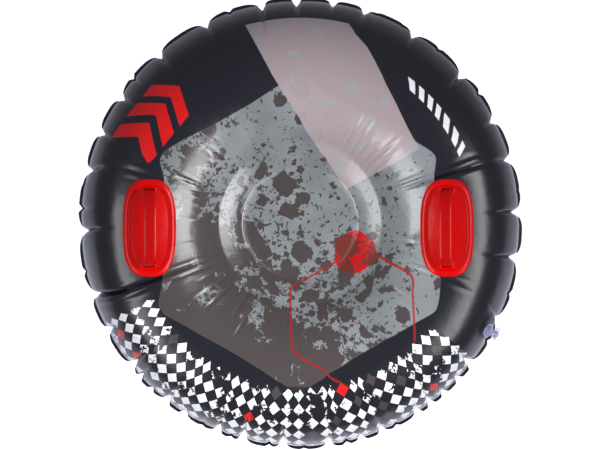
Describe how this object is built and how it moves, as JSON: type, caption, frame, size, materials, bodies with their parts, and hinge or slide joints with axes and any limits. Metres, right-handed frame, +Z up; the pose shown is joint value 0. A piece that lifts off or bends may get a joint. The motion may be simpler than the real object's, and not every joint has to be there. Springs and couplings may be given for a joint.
{
  "type": "inflatable saucer sled",
  "caption": "Round blow-up snow sled: a fat puckered ring round a low flat seat, with a moulded grab handle on each side and a pull-out valve on the rim.",
  "frame": {"origin": "middle of the ring's footprint, on the ground", "axes": "+Z up out of the seat, +X towards the right handle, +Y away from the rider's feet, towards the top of the picture"},
  "size_m": [0.9408, 0.943, 0.277],
  "materials": {
    "upper_film": "soft printed PVC film, mostly charcoal, satin gloss",
    "lower_film": "thick plain charcoal PVC film, satin gloss",
    "seat_web": "plain PVC strip inside the sled",
    "handle_moulding": "soft moulded PVC, red, glossy",
    "valve_moulding": "clear soft PVC, slightly milky and lilac"
  },
  "bodies": {
    "sled": {"upper_film": "upper_film", "lower_film": "lower_film", "seat_web": "seat_web", "left_handle": "handle_moulding", "right_handle": "handle_moulding", "valve_base": "valve_moulding"},
    "stem": {"valve_stem": "valve_moulding"},
    "flap": {"valve_flap": "valve_moulding"},
    "stopper": {"valve_stopper": "valve_moulding"}
  },
  "joints": [
    {"name": "stem_push", "type": "slide", "parent": "sled", "child": "stem", "axis": [0.6944, -0.3945, 0.6018], "range_m": [-0.012, 0]},
    {"name": "stopper_pull", "type": "slide", "parent": "stem", "child": "stopper", "axis": [0.6944, -0.3945, 0.6018], "range_m": [0, 0.01]},
    {"name": "flap_hinge", "type": "hinge", "parent": "stem", "child": "flap", "pos_m": [0.37864, -0.2151, 0.19164], "axis": [0.4939, 0.8695, 0], "range_deg": [0, 45], "stiffness_Nm_per_rad": 0.0002, "springref_deg": -5.73}
  ]
}
